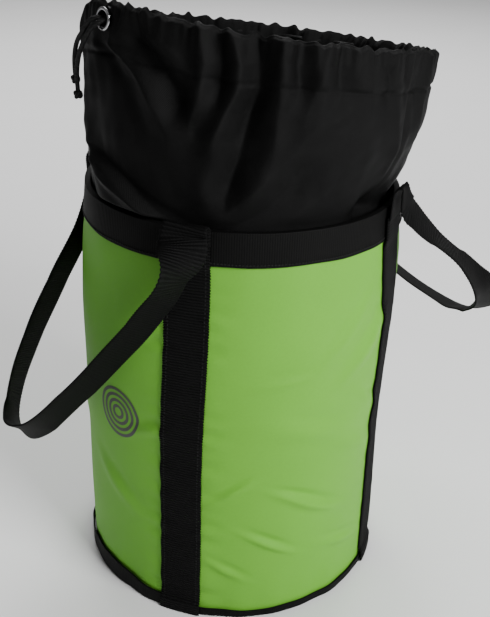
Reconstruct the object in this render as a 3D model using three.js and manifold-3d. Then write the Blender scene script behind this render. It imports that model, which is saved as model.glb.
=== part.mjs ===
// A rope storage bag: a round fabric body that stands on a stiff base, four straps of webbing
// that run on into two swinging carry handles, and a gathered collar closed by a drawcord.
// Millimetres, +Z up. The origin is the middle of the underside; the handles are at -X and +X.
import * as THREE from "three";
import { mergeVertices } from "three/addons/utils/BufferGeometryUtils.js";
import Module from "manifold-3d";

const wasm = await Module();
wasm.setup();

// Driving dimensions.
const BODY_RADIUS = 150; // outside of the wall panels
const BODY_HEIGHT = 400; // floor to the top of the rim
const FABRIC = 1.6; // wall, collar and binding cloth
const WEBBING_WIDTH = 40;
const WEBBING_THICK = 2;
const GAP = 0.4; // left between pieces that touch
const RIM_DEPTH = 30; // height of the binding over the wall's top edge
const BASE_BINDING_HEIGHT = 8;
const BOARD_THICK = 3;
const ROUND = 64; // sides of a full circle
const SMALL_ROUND = 24; // and of a small one

const WALL_BOTTOM = FABRIC + GAP;
const WALL_TOP = BODY_HEIGHT - FABRIC - GAP;
const WALL_INSIDE = BODY_RADIUS - FABRIC;
const BINDING_OUTSIDE = BODY_RADIUS + GAP + FABRIC;
const BINDING_INSIDE = WALL_INSIDE - GAP - FABRIC;

// The collar rises out of the rim as a round sleeve and ends in an oval, tilted mouth.
const COLLAR_RADIUS = BINDING_INSIDE - GAP;
const COLLAR_FOOT = BODY_HEIGHT - 26; // lower edge, sewn inside the rim
const COLLAR_RISE = 135; // rim to the middle height of the mouth
const MOUTH_TURN = THREE.MathUtils.degToRad(-27); // the way the mouth's long axis points
const MOUTH_LONG = 154; // half lengths of the mouth
const MOUTH_SHORT = 130;
const MOUTH_SHIFT = 13; // the mouth leans this far along its long axis
const MOUTH_DROP_LONG = 13; // the lower end of the long axis is this far below the middle
const MOUTH_DROP_SHORT = 15; // and the rear below the middle
const EYELET_LIFT = 9; // the mouth's edge peaks by this much at the eyelet
const EYELET_LIFT_SPAN = 0.5; // radians to each side
const CHANNEL_HEIGHT = 30; // the drawcord's tunnel at the top of the collar
const CHANNEL_DEPTH = 10;

// The drawcord comes out of the tunnel at one eyelet.
const CORD_DIAMETER = 4;
const EYELET_ANGLE = THREE.MathUtils.degToRad(190);
const EYELET_BORE = 5.5; // radius of the hole
const EYELET_FLANGE = 9.5;
const EYELET_METAL = 1;
const EYELET_HEIGHT = BODY_HEIGHT + COLLAR_RISE - 11; // before the mouth is tilted
const KNOT_RADIUS = 4.5;
const TAIL_FRONT = 49; // how far each tail hangs below the eyelet
const TAIL_REAR = 42;
const TAIL_SIDEWAYS = 41; // and how far round the collar its end lies

// The handles hinge where their straps fold over the rim.
const STRAP_TURN = Math.PI / 4; // the straps stand at 45 degrees to X and Y
const HINGE_X = 114;
const HINGE_Y = 114;
const HINGE_Z = 403;
const LEFT_HANG = THREE.MathUtils.degToRad(64); // each loop's angle below the horizontal
const RIGHT_HANG = THREE.MathUtils.degToRad(52);
const PINCH = 0.3; // the webbing is folded to this share of its width where a handle starts
const PINCH_SPREAD = 0.12; // and opens out over this share of the handle's length
const STRAP_STEPS = 20;
const HANDLE_STEPS = 60;
const TAIL_STEPS = 26;
const RING_TURNS = 30; // places along the cord in its tunnel

const GREEN = 0x6cae2d;
const BLACK = 0x151515;

function addPiece(parent, name, geometry, color, roughness = 0.9, metalness = 0) {
  const material = new THREE.MeshStandardMaterial({ color, roughness, metalness });
  const mesh = new THREE.Mesh(geometry, material);
  mesh.name = name;
  parent.add(mesh);
  return mesh;
}

// A solid of revolution about Z from a closed profile of [radius, height] pairs.
function revolve(profile, sides = ROUND) {
  const points = [...profile, profile[0]].map(([r, z]) => new THREE.Vector2(r, z));
  return new THREE.LatheGeometry(points, sides).rotateX(Math.PI / 2);
}

function disc(radius, bottom, thickness) {
  const geometry = new THREE.CylinderGeometry(radius, radius, thickness, ROUND);
  return geometry.rotateX(Math.PI / 2).translate(0, 0, bottom + thickness / 2);
}

function toSolid(geometry) {
  const bare = geometry.clone();
  bare.deleteAttribute("normal");
  bare.deleteAttribute("uv");
  const merged = mergeVertices(bare, 1e-3);
  return new wasm.Manifold(
    new wasm.Mesh({
      numProp: 3,
      vertProperties: merged.attributes.position.array,
      triVerts: new Uint32Array(merged.index.array),
    }),
  );
}

function toGeometry(solid) {
  const mesh = solid.getMesh();
  const geometry = new THREE.BufferGeometry();
  geometry.setAttribute("position", new THREE.BufferAttribute(mesh.vertProperties, 3));
  geometry.setIndex(new THREE.BufferAttribute(mesh.triVerts, 1));
  geometry.computeVertexNormals();
  return geometry;
}

function reshape(geometry, move) {
  const places = geometry.attributes.position;
  const point = new THREE.Vector3();
  for (let i = 0; i < places.count; i++) {
    point.fromBufferAttribute(places, i);
    move(point);
    places.setXYZ(i, point.x, point.y, point.z);
  }
  geometry.computeVertexNormals();
  return geometry;
}

// A flat strip of webbing along a curve. Its width points along "across", as far as the curve
// allows, and narrowAt(u) scales it.
function strip(curve, across, steps, narrowAt = () => 1) {
  const box = new THREE.BoxGeometry(WEBBING_WIDTH, WEBBING_THICK, 1, 1, 1, steps);
  return reshape(box, (point) => {
    const u = THREE.MathUtils.clamp(point.z + 0.5, 0, 1);
    const along = curve.getTangent(u);
    const sideways = across.clone().addScaledVector(along, -across.dot(along)).normalize();
    const out = along.clone().cross(sideways);
    const { x, y } = point;
    point.copy(curve.getPoint(u));
    point.addScaledVector(sideways, x * narrowAt(u)).addScaledVector(out, y);
  });
}

function cordAlong(points, steps, sides = 8) {
  const section = new THREE.Shape();
  for (let i = 0; i < sides; i++) {
    const turn = (2 * Math.PI * i) / sides;
    const x = (CORD_DIAMETER / 2) * Math.cos(turn);
    const y = (CORD_DIAMETER / 2) * Math.sin(turn);
    if (i === 0) section.moveTo(x, y);
    else section.lineTo(x, y);
  }
  const extrudePath = new THREE.CatmullRomCurve3(points);
  return new THREE.ExtrudeGeometry(section, { steps, extrudePath, bevelEnabled: false });
}

// Where a point of the upright collar sleeve ends up once the mouth is pulled to its shape.
function shapeCollar(point) {
  const rise = Math.max(0, (point.z - BODY_HEIGHT) / COLLAR_RISE);
  const long = Math.cos(MOUTH_TURN) * point.x + Math.sin(MOUTH_TURN) * point.y;
  const short = -Math.sin(MOUTH_TURN) * point.x + Math.cos(MOUTH_TURN) * point.y;
  const stretch = THREE.MathUtils.lerp(1, MOUTH_LONG / COLLAR_RADIUS, rise);
  const squeeze = THREE.MathUtils.lerp(1, MOUTH_SHORT / COLLAR_RADIUS, rise);
  const newLong = long * stretch + MOUTH_SHIFT * rise;
  const newShort = short * squeeze;
  const drop = (MOUTH_DROP_LONG * long + MOUTH_DROP_SHORT * short) / COLLAR_RADIUS;
  const fromEyelet = Math.acos(Math.cos(Math.atan2(point.y, point.x) - EYELET_ANGLE));
  const lift = EYELET_LIFT * Math.exp(-((fromEyelet / EYELET_LIFT_SPAN) ** 2));
  point.x = Math.cos(MOUTH_TURN) * newLong - Math.sin(MOUTH_TURN) * newShort;
  point.y = Math.sin(MOUTH_TURN) * newLong + Math.cos(MOUTH_TURN) * newShort;
  point.z += (lift - drop) * rise;
}

function onCollar(angle, radius, height) {
  const point = new THREE.Vector3(radius * Math.cos(angle), radius * Math.sin(angle), height);
  shapeCollar(point);
  return point;
}

// ---------------------------------------------------------------- base

function addBase(bag) {
  const boardBottom = FABRIC + GAP;
  const liningBottom = boardBottom + BOARD_THICK + GAP;
  const inside = WALL_INSIDE - GAP;
  addPiece(bag, "base_panel", disc(BODY_RADIUS, 0, FABRIC), BLACK);
  addPiece(bag, "base_board", disc(inside - GAP, boardBottom, BOARD_THICK), 0x2b2b2b, 0.6);
  addPiece(bag, "base_lining", disc(inside, liningBottom, FABRIC), BLACK);
  const inner = BODY_RADIUS + GAP;
  const lift = GAP; // the binding stays just off the floor
  const ring = [
    [inner, lift],
    [BINDING_OUTSIDE, lift],
    [BINDING_OUTSIDE, BASE_BINDING_HEIGHT],
    [inner, BASE_BINDING_HEIGHT],
  ];
  addPiece(bag, "base_binding", revolve(ring), BLACK);
}

// ---------------------------------------------------------------- wall

function addWall(bag) {
  const names = ["wall_rear", "wall_left", "wall_front", "wall_right"];
  const slit = GAP / BODY_RADIUS; // half of the seam between two panels
  names.forEach((name, i) => {
    const start = STRAP_TURN + (i * Math.PI) / 2 + slit;
    const end = start + Math.PI / 2 - 2 * slit;
    const outline = new THREE.Shape();
    outline.absarc(0, 0, BODY_RADIUS, start, end, false);
    outline.absarc(0, 0, WALL_INSIDE, end, start, true);
    outline.closePath();
    const depth = WALL_TOP - WALL_BOTTOM;
    const panel = new THREE.ExtrudeGeometry(outline, {
      depth,
      curveSegments: ROUND / 4,
      bevelEnabled: false,
    });
    addPiece(bag, name, panel.translate(0, 0, WALL_BOTTOM), GREEN, 0.6);
  });
}

function addRim(bag) {
  const foot = BODY_HEIGHT - RIM_DEPTH;
  const underside = BODY_HEIGHT - FABRIC;
  const hook = [
    [BINDING_INSIDE, foot],
    [WALL_INSIDE - GAP, foot],
    [WALL_INSIDE - GAP, underside],
    [BODY_RADIUS + GAP, underside],
    [BODY_RADIUS + GAP, foot],
    [BINDING_OUTSIDE, foot],
    [BINDING_OUTSIDE, BODY_HEIGHT],
    [BINDING_INSIDE, BODY_HEIGHT],
  ];
  addPiece(bag, "rim_binding", revolve(hook), BLACK);
}

// ---------------------------------------------------------------- straps and handles

// One strap climbs the wall from the base and folds over the rim's binding towards its handle.
function addStrap(bag, name, sideX, sideY) {
  const radial = (r, z) =>
    new THREE.Vector3(sideX * r * Math.cos(STRAP_TURN), sideY * r * Math.sin(STRAP_TURN), z);
  const outside = BINDING_OUTSIDE + GAP + WEBBING_THICK / 2;
  const curve = new THREE.CatmullRomCurve3([
    radial(outside, GAP),
    radial(outside, BODY_HEIGHT / 2),
    radial(outside, BODY_HEIGHT - RIM_DEPTH),
    radial(outside, BODY_HEIGHT - 8),
    radial(outside + 0.3, BODY_HEIGHT),
    radial(outside + 1.5, BODY_HEIGHT + 3),
  ]);
  const alongRim = new THREE.Vector3(-sideX, sideY, 0).normalize();
  addPiece(bag, name, strip(curve, alongRim, STRAP_STEPS), BLACK);
}

// A handle loop lies in a plane through its hinge. Each of its points is [reach, y]: how far
// down the hanging plane from the hinge, and where along the hinge. The webbing is on edge to
// that plane, leaning as "across" says.
function addHandle(bag, name, side, hang, across, outline) {
  const hinge = new THREE.Group();
  hinge.position.set(side * HINGE_X, 0, HINGE_Z);
  bag.add(hinge);
  const down = new THREE.Vector3(side * Math.cos(hang), 0, -Math.sin(hang));
  const loop = outline.map(([reach, y]) => down.clone().multiplyScalar(reach).setY(y));
  const curve = new THREE.CatmullRomCurve3(loop);
  const narrowAt = (u) => {
    const opened = THREE.MathUtils.smoothstep(Math.min(u, 1 - u), 0, PINCH_SPREAD);
    return THREE.MathUtils.lerp(PINCH, 1, opened);
  };
  addPiece(hinge, name, strip(curve, across, HANDLE_STEPS, narrowAt), BLACK);
}

// ---------------------------------------------------------------- collar and drawcord

function collarGeometry() {
  const top = BODY_HEIGHT + COLLAR_RISE;
  const seam = top - CHANNEL_HEIGHT;
  const outside = COLLAR_RADIUS;
  const inside = outside - FABRIC;
  const sleeve = revolve([
    [inside, COLLAR_FOOT],
    [outside, COLLAR_FOOT],
    [outside, BODY_HEIGHT],
    [outside, (BODY_HEIGHT + seam) / 2],
    [outside, top],
    [outside - CHANNEL_DEPTH, top],
    [outside - CHANNEL_DEPTH, seam],
    [inside, seam],
    [inside, (BODY_HEIGHT + seam) / 2],
    [inside, BODY_HEIGHT],
  ]);
  const hollow = revolve([
    [outside - CHANNEL_DEPTH + FABRIC, seam + FABRIC],
    [inside, seam + FABRIC],
    [inside, top - FABRIC],
    [outside - CHANNEL_DEPTH + FABRIC, top - FABRIC],
  ]);
  const holeRadius = EYELET_BORE + EYELET_METAL + GAP;
  const holeDepth = 3 * FABRIC;
  const hole = new THREE.CylinderGeometry(holeRadius, holeRadius, holeDepth, SMALL_ROUND);
  placeAtEyelet(hole);
  const solid = toSolid(reshape(sleeve, shapeCollar))
    .subtract(toSolid(reshape(hollow, shapeCollar)))
    .subtract(toSolid(hole));
  return toGeometry(solid);
}

function eyeletCentre() {
  return onCollar(EYELET_ANGLE, COLLAR_RADIUS, EYELET_HEIGHT);
}

// The way the collar's cloth faces at the eyelet, from two places on it beside the centre.
function eyeletFacing() {
  const beside = EYELET_BORE;
  const centre = eyeletCentre();
  const turned = EYELET_ANGLE + beside / COLLAR_RADIUS;
  const across = onCollar(turned, COLLAR_RADIUS, EYELET_HEIGHT).sub(centre);
  const up = onCollar(EYELET_ANGLE, COLLAR_RADIUS, EYELET_HEIGHT + beside).sub(centre);
  return across.cross(up).normalize();
}

// Turns a geometry made about Y so that its +Y points out of the collar at the eyelet.
function placeAtEyelet(geometry) {
  const turn = new THREE.Quaternion().setFromUnitVectors(
    new THREE.Vector3(0, 1, 0),
    eyeletFacing(),
  );
  const centre = eyeletCentre();
  return geometry.applyQuaternion(turn).translate(centre.x, centre.y, centre.z);
}

function ringAboutY(profile) {
  const points = [...profile, profile[0]].map(([r, y]) => new THREE.Vector2(r, y));
  return new THREE.LatheGeometry(points, SMALL_ROUND);
}

function addEyelet(bag) {
  const barrel = EYELET_BORE + EYELET_METAL;
  const seat = 2 * GAP; // the flange stands this far off the curved cloth
  const back = -FABRIC - seat;
  const front = ringAboutY([
    [EYELET_BORE, back],
    [barrel, back],
    [barrel, seat],
    [EYELET_FLANGE, seat],
    [EYELET_FLANGE, seat + EYELET_METAL],
    [EYELET_BORE, seat + EYELET_METAL],
  ]);
  addPiece(bag, "eyelet", placeAtEyelet(front), 0xc8c8c8, 0.25, 1);
  const washer = ringAboutY([
    [barrel + GAP, back - EYELET_METAL / 2],
    [EYELET_FLANGE, back - EYELET_METAL / 2],
    [EYELET_FLANGE, back],
    [barrel + GAP, back],
  ]);
  addPiece(bag, "eyelet_washer", placeAtEyelet(washer), 0xc8c8c8, 0.25, 1);
}

function addDrawcord(bag) {
  const middle = COLLAR_RADIUS - CHANNEL_DEPTH / 2;
  const clear = (1.4 * EYELET_FLANGE) / COLLAR_RADIUS; // angle kept free beside the eyelet
  const route = [];
  for (let i = 0; i <= RING_TURNS; i++) {
    const angle = EYELET_ANGLE + clear + ((2 * Math.PI - 2 * clear) * i) / RING_TURNS;
    route.push(onCollar(angle, middle, EYELET_HEIGHT));
  }
  addPiece(bag, "drawcord_ring", cordAlong(route, 2 * RING_TURNS), BLACK);

  const spread = CORD_DIAMETER / 2 + GAP;
  const tails = [
    { name: "front", side: 1, length: TAIL_FRONT },
    { name: "rear", side: -1, length: TAIL_REAR },
  ];
  for (const { name, side, length } of tails) {
    // A place this far off the collar's cloth, this far below the eyelet and this far round
    // the collar from it. The tails lie side by side and spread as they go down, and lean says
    // how far they have rolled from beside each other to above each other.
    const place = (off, drop, around, lean) => {
      const apart = side * spread * (1 + drop / length);
      const beside = apart * Math.cos(lean);
      const below = apart * Math.sin(lean);
      const angle = EYELET_ANGLE + (beside - around) / COLLAR_RADIUS;
      return onCollar(angle, COLLAR_RADIUS + off, EYELET_HEIGHT - drop - below);
    };
    const hanging = [
      place(-4, 0, 0, 0),
      place(1, 0, 0, 0.1),
      place(5.5, 1, 1, 0.5),
      place(9, 4, 6, 0.9),
      place(10.5, 11, 14, 0.8),
      place(11, 0.45 * length, 26, 0.6),
      place(10.5, 0.65 * length, 34, 0.4),
      place(9.5, 0.83 * length, 39, 0.3),
      place(8.5, length, TAIL_SIDEWAYS, 0.3),
    ];
    addPiece(bag, "drawcord_tail_" + name, cordAlong(hanging, TAIL_STEPS), BLACK);
    const end = place(8.5, length + KNOT_RADIUS + 2 * GAP, TAIL_SIDEWAYS, 0.3);
    const knot = new THREE.SphereGeometry(KNOT_RADIUS, 12, 8).translate(end.x, end.y, end.z);
    addPiece(bag, "drawcord_knot_" + name, knot, BLACK);
  }
}

// ---------------------------------------------------------------- the whole bag

const bag = new THREE.Group();
addBase(bag);
addWall(bag);
addRim(bag);
addStrap(bag, "strap_front_left", -1, -1);
addStrap(bag, "strap_front_right", 1, -1);
addStrap(bag, "strap_rear_left", -1, 1);
addStrap(bag, "strap_rear_right", 1, 1);
addHandle(bag, "handle_left", -1, LEFT_HANG, new THREE.Vector3(0.4, 0.6, -0.7), [
  [0, -HINGE_Y],
  [14, -122],
  [42, -131],
  [83, -117],
  [126, -97],
  [176, -69],
  [232, -28],
  [254, 8],
  [251, 38],
  [226, 58],
  [176, 72],
  [119, 74],
  [68, 74],
  [36, 92],
  [13, 115],
  [0, HINGE_Y],
]);
addHandle(bag, "handle_right", 1, RIGHT_HANG, new THREE.Vector3(0.85, 0.48, -0.18), [
  [0, -HINGE_Y],
  [16, -112],
  [45, -119],
  [75, -138],
  [113, -139],
  [150, -118],
  [185, -86],
  [211, -45],
  [220, 0],
  [216, 50],
  [195, 93],
  [150, 122],
  [95, 131],
  [45, 124],
  [14, 114],
  [0, HINGE_Y],
]);
addPiece(bag, "collar", collarGeometry(), BLACK);
addEyelet(bag);
addDrawcord(bag);

export default bag;
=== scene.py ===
"""The rope bag's looks: cloth, webbing, cord, metal, light and camera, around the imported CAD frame."""

import math

import bpy
import numpy as np
from mathutils import Matrix, Vector


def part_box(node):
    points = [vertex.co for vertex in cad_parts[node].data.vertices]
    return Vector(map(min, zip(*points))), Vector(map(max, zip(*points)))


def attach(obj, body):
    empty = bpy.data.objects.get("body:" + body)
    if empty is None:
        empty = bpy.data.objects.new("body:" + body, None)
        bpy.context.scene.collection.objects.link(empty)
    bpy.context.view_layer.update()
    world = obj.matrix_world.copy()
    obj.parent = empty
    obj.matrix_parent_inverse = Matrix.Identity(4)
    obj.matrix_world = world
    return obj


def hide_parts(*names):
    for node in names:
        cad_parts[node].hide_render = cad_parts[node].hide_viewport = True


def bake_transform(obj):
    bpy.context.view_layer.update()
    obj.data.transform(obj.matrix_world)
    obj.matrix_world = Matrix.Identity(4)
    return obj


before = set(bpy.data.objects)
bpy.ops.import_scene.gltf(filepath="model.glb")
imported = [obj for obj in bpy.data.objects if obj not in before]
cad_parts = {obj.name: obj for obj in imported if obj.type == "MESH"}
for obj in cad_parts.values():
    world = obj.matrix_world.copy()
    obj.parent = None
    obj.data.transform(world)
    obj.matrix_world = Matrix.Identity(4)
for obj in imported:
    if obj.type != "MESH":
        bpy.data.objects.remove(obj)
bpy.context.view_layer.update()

# ---------------------------------------------------------------- sizes, from the frame

MM = 0.001


def node_box(name):
    low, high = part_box(name)
    return np.array(low), np.array(high)


BASE_LOW, BASE_HIGH = node_box("base_panel")
RIM_LOW, RIM_HIGH = node_box("rim_binding")
WALL_LOW, WALL_HIGH = node_box("wall_front")
COLLAR_FOOT = node_box("collar")[0][2]
BINDING_LOW, BINDING_HIGH = node_box("base_binding")

RADIUS = (BASE_HIGH[0] - BASE_LOW[0]) / 2
CLOTH = BASE_HIGH[2] - BASE_LOW[2]
COLLAR_CLOTH = 0.8 * MM
TOP = RIM_HIGH[2]
RIM_FOOT = RIM_LOW[2]
RIM_RADIUS = (RIM_HIGH[0] - RIM_LOW[0]) / 2
GAP = 0.4 * MM
WEBBING_WIDTH = 40 * MM
WEBBING_THICK = 2 * MM
RIB = 2.6 * MM  # pitch of the webbing's ribs
RIM_ROUND = 0.7 * MM
BASE_TAPE_ROUND = 0.6 * MM
SLACK = 6 * MM  # how far the top of the soft bag is drawn in

# The collar is shaped as in the CAD model: a sleeve pulled to an oval, tilted mouth.
COLLAR_RADIUS = RADIUS - 2 * (CLOTH + GAP)
COLLAR_RISE = 135 * MM
MOUTH_TURN = math.radians(-27)
MOUTH_LONG = 154 * MM
MOUTH_SHORT = 130 * MM
MOUTH_SHIFT = 13 * MM
MOUTH_DROP_LONG = 13 * MM
MOUTH_DROP_SHORT = 15 * MM
CHANNEL = 33 * MM  # height of the drawcord's tunnel
EYELET_ANGLE = math.radians(190)
EYELET_LIFT = 9 * MM
EYELET_LIFT_SPAN = 0.5
EYELET_Z = TOP + COLLAR_RISE - 11 * MM
CORD_DIAMETER = 4 * MM
KNOT_RADIUS = 4.5 * MM
TAIL_SIDEWAYS = 41 * MM

STRAP_TURN = math.pi / 4
STRAP_TOP = TOP - 9 * MM
STRAP_SIDES = {"front_left": (-1, -1), "front_right": (1, -1), "rear_left": (-1, 1), "rear_right": (1, 1)}
HINGE_X = 114 * MM
HINGE_Z = 403 * MM
LEFT_HANG = math.radians(64)
RIGHT_HANG = math.radians(52)

# ---------------------------------------------------------------- small helpers


def unit(v):
    v = np.asarray(v, float)
    return v / np.linalg.norm(v, axis=-1, keepdims=True)


def smooth(x, low, high):
    t = np.clip((x - low) / (high - low), 0, 1)
    return t * t * (3 - 2 * t)


def bump(x, centre, width):
    return np.exp(-(((x - centre) / width) ** 2))


def turn_between(angle, centre):
    """Signed angle from centre to angle, from -pi to pi."""
    return (angle - centre + math.pi) % (2 * math.pi) - math.pi


def waves(x, y, seed, count, low, high):
    """Smooth seeded noise of x and y, about -1 to 1, from waves of low to high radians per unit."""
    rng = np.random.default_rng(seed)
    total = 0
    for _ in range(count):
        heading = rng.uniform(0, math.pi)
        rate = rng.uniform(low, high)
        phase = rng.uniform(0, 2 * math.pi)
        total = total + np.sin(rate * (x * math.cos(heading) + y * math.sin(heading)) + phase)
    return total / math.sqrt(count)


def add_mesh(name, points, faces, material, body="bag", uv=None, settled=True):
    mesh = bpy.data.meshes.new(name)
    points = settle(points) if settled else points
    mesh.from_pydata([tuple(p) for p in points], [], [tuple(int(i) for i in f) for f in faces])
    mesh.polygons.foreach_set("use_smooth", [True] * len(mesh.polygons))
    if uv is not None:
        layer = mesh.uv_layers.new(name="flat")
        loops = np.zeros(len(mesh.loops), dtype=np.int32)
        mesh.loops.foreach_get("vertex_index", loops)
        layer.data.foreach_set("uv", np.asarray(uv, np.float32)[loops].ravel())
    mesh.materials.append(material)
    mesh.update()
    piece = bpy.data.objects.new(name, mesh)
    bpy.context.scene.collection.objects.link(piece)
    if body:
        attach(piece, body)
    return piece


def grid_faces(rows, columns, closed_rows=False, closed_columns=False):
    """Quads of a rows x columns lattice of points."""
    last_row = rows if closed_rows else rows - 1
    last_column = columns if closed_columns else columns - 1
    i, j = np.meshgrid(np.arange(last_row), np.arange(last_column), indexing="ij")
    down = (i + 1) % rows
    right = (j + 1) % columns
    corners = [i * columns + j, i * columns + right, down * columns + right, down * columns + j]
    return np.stack(corners, -1).reshape(-1, 4)


def thicken(piece, thickness, offset=-1):
    """Gives a sheet its thickness, on the inner side, as real faces."""
    solid = piece.modifiers.new("thickness", "SOLIDIFY")
    solid.thickness = thickness
    solid.offset = offset
    bpy.context.view_layer.objects.active = piece
    with bpy.context.temp_override(object=piece, active_object=piece, selected_objects=[piece]):
        bpy.ops.object.modifier_apply(modifier="thickness")


def spline(points, per_span=24):
    """A centripetal Catmull-Rom curve through the points."""
    points = np.asarray(points, float)
    ends = np.vstack([2 * points[0] - points[1], points, 2 * points[-1] - points[-2]])
    out = []
    for p0, p1, p2, p3 in zip(ends, ends[1:], ends[2:], ends[3:]):
        t1 = np.linalg.norm(p1 - p0) ** 0.5
        t2 = t1 + np.linalg.norm(p2 - p1) ** 0.5
        t3 = t2 + np.linalg.norm(p3 - p2) ** 0.5
        t = np.linspace(t1, t2, per_span, endpoint=False)[:, None]
        a1 = (t1 - t) / t1 * p0 + t / t1 * p1
        a2 = (t2 - t) / (t2 - t1) * p1 + (t - t1) / (t2 - t1) * p2
        a3 = (t3 - t) / (t3 - t2) * p2 + (t - t2) / (t3 - t2) * p3
        b1 = (t2 - t) / t2 * a1 + t / t2 * a2
        b2 = (t3 - t) / (t3 - t1) * a2 + (t - t1) / (t3 - t1) * a3
        out.append((t2 - t) / (t2 - t1) * b1 + (t - t1) / (t2 - t1) * b2)
    out.append(points[-1:])
    return np.vstack(out)


def even(points, step, *carried):
    """The polyline again with points an even step apart, and each carried array along with it."""
    lengths = np.concatenate([[0], np.cumsum(np.linalg.norm(np.diff(points, axis=0), axis=1))])
    marks = np.linspace(0, lengths[-1], max(2, round(lengths[-1] / step)) + 1)

    def resample(values):
        return np.stack([np.interp(marks, lengths, column) for column in np.asarray(values).T], -1)

    return (marks, resample(points)) + tuple(resample(values) for values in carried)


def settle(points):
    """The soft bag stands a little out of true: its top is drawn in and three of its straps lean."""
    points = np.asarray(points, float).copy()
    x, y, z = points[..., 0], points[..., 1], points[..., 2]
    radius, angle = np.hypot(x, y), np.arctan2(y, x)
    near = 1 - smooth(radius, RADIUS + 12 * MM, RADIUS + 75 * MM)
    drawn_in = SLACK * smooth(z, 0.27, TOP) - 4 * MM * smooth(z, TOP + 10 * MM, TOP + 70 * MM)
    sway = 2.1 * bump(turn_between(angle, math.radians(225)), 0, 0.6) * np.clip(z / 0.37, 0, 1) ** 1.3
    sway = sway - 5.0 * bump(turn_between(angle, math.radians(315)), 0, 0.45) * smooth(z, 0.24, 0.39)
    sway = sway - 8.0 * bump(turn_between(angle, math.radians(135)), 0, 0.5) * smooth(z, 0.2, 0.39)
    sway = sway * (1 - smooth(z, TOP + 5 * MM, TOP + 60 * MM))
    radius = radius - drawn_in * near
    angle = angle + np.radians(sway) * near
    points[..., 0], points[..., 1] = radius * np.cos(angle), radius * np.sin(angle)
    return points


# ---------------------------------------------------------------- materials


class Nodes:
    """A short way to write a material's node tree."""

    def __init__(self, name):
        self.material = bpy.data.materials.new(name)
        self.material.use_nodes = True
        self.tree = self.material.node_tree
        self.shader = self.tree.nodes["Principled BSDF"]

    def add(self, kind, settings=None, **inputs):
        node = self.tree.nodes.new(kind)
        for key, value in (settings or {}).items():
            setattr(node, key, value)
        for key, value in inputs.items():
            by_number = key[0] == "i" and key[1:].isdigit()
            self.put(node.inputs[int(key[1:]) if by_number else key], value)
        return node

    def put(self, socket, value):
        if isinstance(value, bpy.types.NodeSocket):
            self.tree.links.new(value, socket)
        else:
            socket.default_value = value

    def math(self, operation, a, b=0.0):
        return self.add("ShaderNodeMath", {"operation": operation}, i0=a, i1=b).outputs[0]

    def noise(self, scale, detail=3.0, vector=None):
        node = self.add("ShaderNodeTexNoise", None, Scale=scale, Detail=detail)
        if vector is not None:
            self.put(node.inputs["Vector"], vector)
        return node.outputs["Fac"]

    def place(self):
        return self.add("ShaderNodeTexCoord").outputs["Object"]

    def flat(self):
        """The two flat coordinates of the cloth, in metres."""
        flat_place = self.add("ShaderNodeTexCoord").outputs["UV"]
        parts = self.add("ShaderNodeSeparateXYZ", None, Vector=flat_place)
        return parts.outputs[0], parts.outputs[1]

    def mix(self, share, low, high):
        node = self.add("ShaderNodeMix", {"data_type": "RGBA"})
        self.put(node.inputs[0], share)
        self.put(node.inputs[6], low)
        self.put(node.inputs[7], high)
        return node.outputs[2]

    def ramp(self, value, low, high):
        node = self.add("ShaderNodeMapRange", None, Value=value)
        node.inputs["From Min"].default_value = low
        node.inputs["From Max"].default_value = high
        return node.outputs[0]

    def wave(self, value, pitch):
        """A ripple from 0 to 1 along value, one to each pitch."""
        turned = self.math("MULTIPLY", value, 2 * math.pi / pitch)
        return self.half(self.math("SINE", turned))

    def half(self, value):
        return self.math("ADD", self.math("MULTIPLY", value, 0.5), 0.5)

    def bump(self, height, distance, strength=1.0, below=None):
        node = self.add("ShaderNodeBump", None, Height=height, Distance=distance, Strength=strength)
        if below is not None:
            self.put(node.inputs["Normal"], below)
        return node.outputs["Normal"]

    def set(self, **values):
        for key, value in values.items():
            self.put(self.shader.inputs[key.replace("_", " ")], value)
        return self.material


def dim(colour, share):
    return tuple(c * share for c in colour[:3]) + (1.0,)


def cloth_material(name, colour, pitch, depth, roughness, mottle, gloss):
    """Plain-woven cloth: threads over and under each other, uneven in colour and gloss."""
    n = Nodes(name)
    across, up = n.flat()
    weft = n.wave(across, pitch)
    warp = n.wave(up, pitch)
    checker = n.math("MULTIPLY", n.math("SUBTRACT", weft, 0.5), n.math("SUBTRACT", warp, 0.5))
    slubs = n.noise(900.0, 2.0, n.place())
    weave = n.math("ADD", n.math("MULTIPLY", checker, 2.0), n.math("MULTIPLY", slubs, 0.9))
    cloud = n.noise(14.0, 4.0, n.place())
    fine = n.noise(420.0, 2.0, n.place())
    tone = n.ramp(n.math("ADD", n.math("MULTIPLY", cloud, 0.55), n.math("MULTIPLY", fine, 0.45)), 0.32, 0.68)
    colour_out = n.mix(tone, dim(colour, 1 - mottle), dim(colour, 1 + mottle))
    crumple = n.bump(n.noise(60.0, 3.0, n.place()), 0.8 * MM, 0.25)
    normal = n.bump(weave, depth, 0.6, crumple)
    rough = n.math("ADD", n.math("MULTIPLY", fine, 0.16), roughness - 0.08)
    return n.set(Base_Color=colour_out, Roughness=rough, Normal=normal, Specular_IOR_Level=gloss)


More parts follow.
